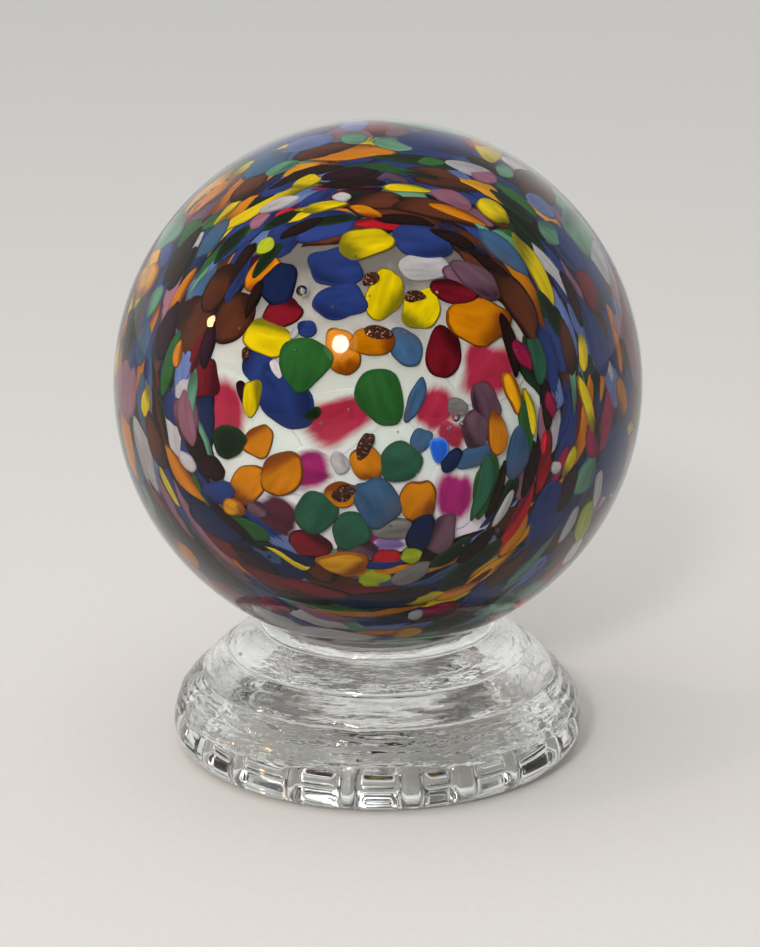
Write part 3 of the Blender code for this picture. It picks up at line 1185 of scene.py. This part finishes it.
    # Each vertex's way ahead along the parallel and aside along the meridian, by its own lean
    half_length, half_width, lean, lift = (
        add_node(tree, "GeometryNodeInputNamedAttribute", {"data_type": "FLOAT"}, {
            "Name": name,
        }).outputs[0]
        for name in ("half_length", "half_width", "lean", "lift")
    )
    middle = add_node(tree, "GeometryNodeInputNamedAttribute", {
        "data_type": "FLOAT_VECTOR",
    }, {"Name": "spot"}).outputs[0]
    along = add_node(tree, MATHS, MULTIPLY, {0: x, 1: half_length}).outputs[0]
    across = add_node(tree, MATHS, MULTIPLY, {0: y, 1: half_width}).outputs[0]
    cosine = add_node(tree, MATHS, COSINE, {0: lean}).outputs[0]
    sine = add_node(tree, MATHS, SINE, {0: lean}).outputs[0]
    ahead = add_node(tree, MATHS, SUBTRACT, {
        0: add_node(tree, MATHS, MULTIPLY, {0: along, 1: cosine}).outputs[0],
        1: add_node(tree, MATHS, MULTIPLY, {0: across, 1: sine}).outputs[0],
    }).outputs[0]
    aside = add_node(tree, MATHS, ADD, {
        0: add_node(tree, MATHS, MULTIPLY, {0: along, 1: sine}).outputs[0],
        1: add_node(tree, MATHS, MULTIPLY, {0: across, 1: cosine}).outputs[0],
    }).outputs[0]

    # That way is turned into angles, first round the axis and then round the meridian's own
    # axis, from the chip's middle
    round_axis = add_node(tree, VECTOR_MATHS, CROSS_PRODUCT, {0: axis, 1: middle}).outputs[0]
    parallel = add_node(tree, VECTOR_MATHS, LENGTH, {0: round_axis}).outputs["Value"]
    parallel = add_node(tree, MATHS, MULTIPLY, {0: parallel, 1: radius}).outputs[0]
    onward = add_node(tree, "ShaderNodeVectorRotate", {"rotation_type": "AXIS_ANGLE"}, {
        "Vector": middle, "Axis": axis,
        "Angle": add_node(tree, MATHS, DIVIDE, {0: ahead, 1: parallel}).outputs[0],
    }).outputs[0]
    meridian = add_node(tree, VECTOR_MATHS, CROSS_PRODUCT, {0: axis, 1: onward}).outputs[0]
    meridian = add_node(tree, VECTOR_MATHS, NORMALIZE, {0: meridian}).outputs[0]
    onward = add_node(tree, "ShaderNodeVectorRotate", {"rotation_type": "AXIS_ANGLE"}, {
        "Vector": onward, "Axis": meridian,
        "Angle": add_node(tree, MATHS, DIVIDE, {0: aside, 1: radius}).outputs[0],
    }).outputs[0]

    # The edges stray a little, and the lens is lifted to its own height over the core
    on_core = add_node(tree, VECTOR_MATHS, SCALE, {0: onward, "Scale": radius}).outputs[0]
    stray = add_node(tree, "ShaderNodeTexNoise", inputs={
        "Vector": on_core, "Scale": 1 / WANDER_SIZE, "Detail": 1.5,
    }).outputs["Color"]
    stray = add_node(tree, VECTOR_MATHS, SUBTRACT, {0: stray, 1: (0.5, 0.5, 0.5)}).outputs[0]
    stray = add_node(tree, VECTOR_MATHS, SCALE, {0: stray, "Scale": given["Wander"]}).outputs[0]
    onward = add_node(tree, VECTOR_MATHS, ADD, {0: on_core, 1: stray}).outputs[0]
    onward = add_node(tree, VECTOR_MATHS, NORMALIZE, {0: onward}).outputs[0]
    rise = add_node(tree, MATHS, MULTIPLY, {0: z, 1: given["Thickness"]}).outputs[0]
    for height in (lift, given["Lift"], radius):
        rise = add_node(tree, MATHS, ADD, {0: rise, 1: height}).outputs[0]
    wrapped = add_node(tree, VECTOR_MATHS, SCALE, {0: onward, "Scale": rise}).outputs[0]
    wrapped = add_node(tree, VECTOR_MATHS, ADD, {0: wrapped, 1: given["Centre"]}).outputs[0]
    chips = add_node(tree, "GeometryNodeSetPosition", inputs={
        "Geometry": chips, "Position": wrapped,
    }).outputs[0]
    chips = add_node(tree, "GeometryNodeSetShadeSmooth", inputs={0: chips}).outputs[0]
    chips = add_node(tree, "GeometryNodeSetMaterial", inputs={
        "Geometry": chips, "Material": given["Material"],
    }).outputs[0]
    add_node(tree, "NodeGroupOutput", inputs={0: chips})
    return tree


def grown(name, tree, inputs):
    """Run a Geometry Nodes tree with these inputs and keep its result as a plain mesh."""
    carrier = bpy.data.objects.new(f"{name}_carrier", bpy.data.meshes.new(f"{name}_carrier"))
    bpy.context.collection.objects.link(carrier)
    modifier = carrier.modifiers.new("grow", "NODES")
    modifier.node_group = tree
    identifiers = {
        item.name: item.identifier
        for item in tree.interface.items_tree
        if item.in_out == "INPUT"
    }
    for key, value in inputs.items():
        modifier[identifiers[key]] = value
    evaluated = carrier.evaluated_get(bpy.context.evaluated_depsgraph_get())
    mesh = bpy.data.meshes.new_from_object(evaluated)
    mesh.name = name
    bpy.data.objects.remove(carrier, do_unlink=True)
    return mesh


class MARBLE_OT_drawn_chips(bpy.types.Operator):
    """Scatter the drawn-out chips over the rest of the core, one piece for each glass"""
    bl_idname = "marble.drawn_chips"
    bl_label = "Drawn chips"

    def execute(self, context):
        core = context.scene.marble_core
        chips = context.scene.marble_drawn
        axis = seen_on_core(*POLE_SHOWS_AT, core.radius, core.casing_ior)
        cap = math.cos(chips.pole_cap)
        tree = drawn_chip_tree()
        shared = {
            "Core Radius": core.radius, "Centre": BALL_CENTRE, "Axis": axis,
            "Thickness": core.chip_thickness, "Wander": chips.wander,
        }
        drawn = {
            "Turn Axis": axis, "Cosine From": -cap, "Cosine To": cap,
            "Length": chips.length, "Width": chips.width, "Lean": chips.lean,
            "Belt Length": chips.belt_length, "Belt Width": chips.belt_width, "Taper": 0.26,
        }
        far_pole = {
            "Turn Axis": axis.orthogonal().normalized(), "Cosine From": -1.1,
            "Cosine To": -cap, "Length": chips.pebble, "Width": 0.8 * chips.pebble,
            "Belt Length": chips.pebble, "Belt Width": chips.pebble, "Lean": math.pi,
            "Taper": 0.12,
        }
        coats = (
            ("under", UNDER_COAT, drawn, {
                "Lift": 0.0, "Seed": chips.seed, "Spacing": 1.15 * chips.spacing,
                "Length": 1.3 * chips.length, "Width": 2.2 * chips.width,
                "Cosine To": cap - SHORT_OF_CAP,
            }),
            ("upper", UPPER_COAT, drawn, {
                "Lift": 0.2 * MM, "Seed": chips.seed + 100, "Spacing": chips.spacing,
            }),
            ("needle", NEEDLE_COAT, drawn, {
                "Lift": 0.45 * MM, "Seed": chips.seed + 300, "Spacing": 2.1 * chips.spacing,
                "Width": 0.72 * chips.width, "Belt Width": 0.7 * chips.belt_width,
                "Cosine To": cap - SHORT_OF_CAP,
            }),
            ("far", FAR_COAT, far_pole, {
                "Lift": 0.1 * MM, "Seed": chips.seed + 200, "Spacing": 0.68 * chips.pebble,
            }),
        )
        for coat, glasses, band, own in coats:
            start = 0.0
            for glass, share in glasses:
                material = glass_for(glass)
                mesh = grown(f"{coat}_chips_{glass}", tree, {
                    **shared, **band, **own, "Share From": start, "Share To": start + share,
                    "Material": material,
                })
                start += share
                if mesh.polygons:
                    ride(link(mesh.name, mesh, material))
        return {"FINISHED"}


# The stand's turned outline, as in the frame's solid but with a slightly rounder flange edge:
# the edge radius and height of each tier, and how far the side that leads up to it swells out
FOOT_RADIUS_MM = 36.3
FOOT_WIDTH_MM = 4.0
TIERS_MM = (
    (40.0, 5.2, 1.02),
    (34.5, 14.7, 1.4),
    (29.5, 19.6, 0.6),
)
LIP_WIDTH_MM = 2.6
LIP_DROP_MM = 1.5
LIP_BULGE_MM = 0.6
COLLAR_BULGE_MM = 0.7
HOLLOW_DEPTH_MM = 9.0
HOLLOW_DOME_MM = 1.0
HOLLOW_WALL_LEAN_MM = 4.5
HOLLOW_CORNER_MM = 3.0

# The finish of the pressed skin: the creases between the tiers and the calm beside them, the
# height below which the flange is smooth, how much stronger the streaks are on the flange, and
# how quickly a streak changes round the stand and up it, for each millimetre
CREASE_DEPTH_MM = 0.30
CREASE_WIDTH_MM = 0.22
CREASE_CALM = 0.7
SMOOTH_BELOW_MM = 8.2
FLANGE_STREAK = 2.4
WAVES_ROUND = 5.0
WAVES_UP = 0.55

# The steps of the turned outline, and the points round the stand for each lug
OUTLINE_STEP_MM = 0.26
CEILING_STEPS = 12
CORNER_STEPS = 8
WALL_STEPS = 24
DISH_STEPS = 30
SAMPLES_PER_LUG = 22

# A lug on the hollow's wall: a rounded pad with a sunk panel. The place of its middle is up the
# wall's slope, the edge is the width of its sides, and the frame runs round the panel. The sink
# is a share of the standout, and the unlikeness is the most that a lug's width differs.
LUG_STANDOUT_MM = 1.6
LUG_MIDDLE_MM = 3.85
LUG_WIDTH_MM = 8.5
LUG_HEIGHT_MM = 4.1
LUG_CORNER_MM = 1.3
LUG_EDGE_MM = 1.0
LUG_FRAME_MM = 0.9
LUG_PANEL_SINK = 0.65
LUG_UNLIKENESS = 0.5
LUG_NOISE_STEP = 7.37


def arc(start, end, bulge):
    """Points of an arc from start, short of its end, that swells out of the glass on its left."""
    run_out = end[0] - start[0]
    run_up = end[1] - start[1]
    chord = math.hypot(run_out, run_up)
    steps = max(2, round(chord / OUTLINE_STEP_MM))
    radius = (chord * chord / 4 + bulge * bulge) / (2 * bulge)
    points = []
    for step in range(steps):
        share = step / steps
        along = chord * (share - 0.5)
        swell = (math.sqrt(radius * radius - along * along) - radius + bulge) / chord
        points.append((
            start[0] + run_out * share + run_up * swell,
            start[1] + run_up * share - run_out * swell,
        ))
    return points


def stand_outline(stand):
    """The stand's closed outline in mm: radius, height, way up the lugs' wall, and streak."""
    foot_inner = (FOOT_RADIUS_MM - FOOT_WIDTH_MM, 0.0)
    ceiling_edge = (foot_inner[0] - HOLLOW_WALL_LEAN_MM, HOLLOW_DEPTH_MM - HOLLOW_DOME_MM)
    slope = math.dist(foot_inner, ceiling_edge)
    clear_wall = 1 - HOLLOW_CORNER_MM / slope

    def on_wall(share):
        return tuple(a + (b - a) * share for a, b in zip(foot_inner, ceiling_edge))

    points = []
    turn_start = ceiling_edge[0] - HOLLOW_CORNER_MM
    for step in range(CEILING_STEPS):
        share = step / CEILING_STEPS
        height = HOLLOW_DEPTH_MM - HOLLOW_DOME_MM * share * share
        points.append((turn_start * share, height, None, 0.0))
    turn_end = on_wall(clear_wall)
    for step in range(CORNER_STEPS + 1):
        t = step / CORNER_STEPS
        weights = ((1 - t) ** 2, 2 * t * (1 - t), t * t)
        corners = ((turn_start, ceiling_edge[1]), ceiling_edge, turn_end)
        radius, height = (
            sum(weight * corner[axis] for weight, corner in zip(weights, corners))
            for axis in (0, 1)
        )
        points.append((radius, height, None, 0.0))
    for step in range(1, WALL_STEPS):
        share = (1 - step / WALL_STEPS) * clear_wall
        points.append((*on_wall(share), share * slope, 0.0))
    points.append((*foot_inner, None, 0.0))

    ball_height = BALL_CENTRE.z / MM
    curve = (BALL_RADIUS + stand.seat_gap) / MM
    dish_radius = stand.dish_radius / MM

    def dish_height(radius):
        return ball_height - math.sqrt(curve * curve - radius * radius)

    crown = (dish_radius, dish_height(dish_radius))
    lip = (crown[0] + LIP_WIDTH_MM, crown[1] - LIP_DROP_MM)
    start = (FOOT_RADIUS_MM, 0.0)
    swells = [((radius, height), bulge) for radius, height, bulge in TIERS_MM]
    swells += [(lip, COLLAR_BULGE_MM), (crown, LIP_BULGE_MM)]
    creases = [tier[:2] for tier in TIERS_MM[1:]] + [lip, crown]
    for end, bulge in swells:
        for radius, height in arc(start, end, bulge):
            near = sum(
                math.exp(-(math.dist((radius, height), crease) / CREASE_WIDTH_MM) ** 2)
                for crease in creases
            )
            streak = smooth_step(height - SMOOTH_BELOW_MM)
            if end == TIERS_MM[1][:2]:
                streak *= FLANGE_STREAK
            streak *= 1.0 - CREASE_CALM * min(near, 1.0)
            points.append((radius - CREASE_DEPTH_MM * near, height, None, streak))
        start = end
    for step in range(DISH_STEPS + 1):
        radius = dish_radius * (1 - step / DISH_STEPS)
        points.append((radius, dish_height(radius), None, 0.0))
    return points


def smooth_step(share):
    """0 up to a share of 0, 1 from a share of 1, and an even S between them."""
    share = min(max(share, 0.0), 1.0)
    return share * share * (3 - 2 * share)


def lug_rise(up_wall, angle, reach, count):
    """How much of a lug's standout the hollow's wall has at a place up and round it, in mm."""
    if up_wall is None:
        return 0.0
    turn = angle * count / (2 * math.pi)
    number = math.floor(turn)
    unlike = LUG_UNLIKENESS * noise.noise(Vector((number * LUG_NOISE_STEP + 0.5, 0.0, 0.0)))
    across = abs(turn - number - 0.5) * 2 * math.pi * reach / count
    beyond_side = across - LUG_WIDTH_MM / 2 * (1 + unlike) + LUG_CORNER_MM
    beyond_end = abs(up_wall - LUG_MIDDLE_MM) - LUG_HEIGHT_MM / 2 + LUG_CORNER_MM
    outside = math.hypot(max(beyond_side, 0.0), max(beyond_end, 0.0))
    inside = LUG_CORNER_MM - outside - min(max(beyond_side, beyond_end), 0.0)
    pad = smooth_step(inside / LUG_EDGE_MM)
    panel = smooth_step((inside - LUG_FRAME_MM) / LUG_EDGE_MM)
    return pad - LUG_PANEL_SINK * panel


class MARBLE_OT_stand(bpy.types.Operator):
    """Turn the pressed-glass stand with its tiers, dish, lugs and fire-polished streaks"""
    bl_idname = "marble.stand"
    bl_label = "Pressed-glass stand"

    def execute(self, context):
        stand = context.scene.marble_stand
        outline = stand_outline(stand)
        segments = stand.lug_count * SAMPLES_PER_LUG
        bm = bmesh.new()
        streak_layer = bm.verts.layers.float.new("streak")
        rings = [[bm.verts.new((0.0, 0.0, outline[0][1] * MM))]]
        for radius, height, up_wall, streak in outline[1:-1]:
            ring = []
            for segment in range(segments):
                angle = 2 * math.pi * segment / segments
                wave = noise.noise(Vector((
                    math.cos(angle) * WAVES_ROUND, math.sin(angle) * WAVES_ROUND,
                    (height - radius) * WAVES_UP,
                )))
                reach = radius * MM + stand.streak * streak * wave
                lug = lug_rise(up_wall, angle, radius, stand.lug_count)
                reach -= LUG_STANDOUT_MM * MM * lug
                vert = bm.verts.new((
                    reach * math.cos(angle), reach * math.sin(angle), height * MM,
                ))
                vert[streak_layer] = streak
                ring.append(vert)
            rings.append(ring)
        rings.append([bm.verts.new((0.0, 0.0, outline[-1][1] * MM))])
        for lower, upper in zip(rings, rings[1:]):
            for segment in range(segments):
                following = (segment + 1) % segments
                if len(lower) == 1:
                    bm.faces.new((lower[0], upper[following], upper[segment]))
                elif len(upper) == 1:
                    bm.faces.new((lower[segment], lower[following], upper[0]))
                else:
                    bm.faces.new((
                        lower[segment], lower[following], upper[following], upper[segment],
                    ))
        bmesh.ops.recalc_face_normals(bm, faces=bm.faces)
        mesh = finished_mesh("pressed_glass_stand", bm)
        piece = link("pressed_glass_stand", mesh, pressed_glass())
        ride(piece)
        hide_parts("stand")
        return {"FINISHED"}


def look_at(thing, target):
    """Turn a light or a camera so that it faces a point."""
    thing.rotation_euler = (Vector(target) - thing.location).to_track_quat("-Z", "Y").to_euler()


# The lamps that the ball mirrors: the mirrored ray's shares across, above and towards the eye,
# the lamp's distance from the ball, its width, power and colour
MAIN_RAY = (-0.259, 0.279, 0.925)
WARM_RAY = (-0.912, 0.345, 0.185)
LAMPS = (
    ("main_lamp", MAIN_RAY, 1.2, 0.15, 5.0, "#FFFAF2"),
    ("lamp_glow", MAIN_RAY, 1.22, 0.30, 0.9, "#FFE6C4"),
    ("warm_lamp", WARM_RAY, 1.2, 0.085, 1.8, "#FFC890"),
)

# The softbox before the ball, and the even light from above: places, width or spread, and power
SOFTBOX_PLACE = (-0.4, -1.1, 1.0)
SOFTBOX_WIDTH = 0.9
SOFTBOX_POWER = 3.6
SKY_PLACE = (-0.4, -0.5, 1.5)
SKY_SPREAD = math.radians(80)
SKY_POWER = 1.75


def lamp_towards(ray, distance):
    """Where a lamp stands that the ball mirrors, from the mirrored ray in the eye's axes."""
    across, above, towards = ray
    _, ahead, right, up = view_axes()
    mirrored = right * across + up * above - ahead * towards
    return BALL_CENTRE + mirrored.normalized() * distance


def add_lamp(name, place, shape, width, power, colour):
    """An area light that faces the ball."""
    data = bpy.data.lights.new(name, "AREA")
    data.shape = shape
    data.size = width
    data.energy = power
    data.color = linear(colour)[:3]
    light = bpy.data.objects.new(name, data)
    light.location = place
    bpy.context.collection.objects.link(light)
    look_at(light, BALL_CENTRE)
    return light


def soft_surround(tree):
    """Pale walls behind and beside the object, a dim ceiling, and a dim room before it."""
    direction = add_node(tree, "ShaderNodeTexCoord").outputs["Generated"]
    sides = add_node(tree, "ShaderNodeSeparateXYZ", inputs={0: direction}).outputs
    height = add_node(tree, "ShaderNodeMapRange", SMOOTH_STEP, {
        "Value": sides["Z"], "From Min": 0.15, "From Max": 0.75, "To Min": 1.0, "To Max": 0.45,
    }).outputs["Result"]
    depth = add_node(tree, "ShaderNodeMapRange", SMOOTH_STEP, {
        "Value": sides["Y"], "From Min": -0.75, "From Max": 0.15, "To Min": 0.06, "To Max": 1.0,
    }).outputs["Result"]
    strength = add_node(tree, MATHS, MULTIPLY, {0: height, 1: depth}).outputs[0]
    background = tree.nodes["Background"]
    background.inputs["Color"].default_value = linear("#F1F0EE")
    tree.links.new(strength, background.inputs["Strength"])


class MARBLE_OT_stage(bpy.types.Operator):
    """Set the plain floor, the soft light and the camera"""
    bl_idname = "marble.stage"
    bl_label = "Studio"

    def execute(self, context):
        stage = context.scene.marble_stage
        scene = context.scene
        bm = bmesh.new()
        bmesh.ops.create_circle(bm, cap_ends=True, segments=96, radius=stage.floor_radius)
        link("studio_floor", finished_mesh("studio_floor", bm), pale_floor())

        world = bpy.data.worlds.new("soft_surround")
        world.use_nodes = True
        soft_surround(world.node_tree)
        scene.world = world

        for name, ray, distance, width, power, colour in LAMPS:
            add_lamp(name, lamp_towards(ray, distance), "DISK", width, power, colour)
        softbox = add_lamp(
            "front_softbox", SOFTBOX_PLACE, "SQUARE", SOFTBOX_WIDTH, SOFTBOX_POWER, "#FFFFFF",
        )
        softbox.visible_glossy = False
        data = bpy.data.lights.new("even_skylight", "SUN")
        data.energy = SKY_POWER
        data.angle = SKY_SPREAD
        sky = bpy.data.objects.new("even_skylight", data)
        sky.location = SKY_PLACE
        sky.visible_glossy = False
        context.collection.objects.link(sky)
        look_at(sky, BALL_CENTRE)

        data = bpy.data.cameras.new("camera")
        data.sensor_width = 36.0
        data.lens = FOCAL_PIXELS / PHOTO_SIZE[1] * data.sensor_width
        camera = bpy.data.objects.new("camera", data)
        eye = view_axes()[0]
        below = math.atan((PHOTO_SIZE[1] / 2 - BALL_SHOWS_AT[1]) / FOCAL_PIXELS)
        camera.location = eye
        camera.rotation_euler = (math.pi / 2 - VIEW_RISE - below, 0.0, 0.0)
        data.shift_x = (PHOTO_SIZE[0] / 2 - AXIS_SHOWS_AT_X) / PHOTO_SIZE[1]
        context.collection.objects.link(camera)
        scene.camera = camera
        scene.view_settings.view_transform = "Standard"
        return {"FINISHED"}


class MARBLE_PT_panel(bpy.types.Panel):
    """Lists the sizes and the steps that make the marble"""
    bl_idname = "MARBLE_PT_panel"
    bl_label = "Art Glass Marble"
    bl_space_type = "VIEW_3D"
    bl_region_type = "UI"
    bl_category = "Art Glass"

    def draw(self, context):
        layout = self.layout
        for name, settings in SETTINGS.items():
            box = layout.box()
            group = getattr(context.scene, name)
            for key in settings.__annotations__:
                box.prop(group, key)
        for step in STEPS:
            layout.operator(step.bl_idname)


SETTINGS = {
    "marble_core": CoreSettings,
    "marble_drawn": DrawnChipSettings,
    "marble_stand": StandSettings,
    "marble_stage": StageSettings,
}
STEPS = (
    MARBLE_OT_stage,
    MARBLE_OT_core,
    MARBLE_OT_pole_chips,
    MARBLE_OT_drawn_chips,
    MARBLE_OT_bubbles,
    MARBLE_OT_casing,
    MARBLE_OT_stand,
)


def register():
    for group in SETTINGS.values():
        bpy.utils.register_class(group)
    for step in (*STEPS, MARBLE_PT_panel):
        bpy.utils.register_class(step)
    for name, group in SETTINGS.items():
        setattr(bpy.types.Scene, name, bpy.props.PointerProperty(type=group))


def unregister():
    for name in SETTINGS:
        delattr(bpy.types.Scene, name)
    for step in (MARBLE_PT_panel, *reversed(STEPS)):
        bpy.utils.unregister_class(step)
    for group in reversed(SETTINGS.values()):
        bpy.utils.unregister_class(group)


def main():
    register()
    bpy.ops.marble.stage()
    bpy.ops.marble.core()
    bpy.ops.marble.pole_chips()
    bpy.ops.marble.drawn_chips()
    bpy.ops.marble.bubbles()
    bpy.ops.marble.casing()
    bpy.ops.marble.stand()


if __name__ == "__main__":
    main()
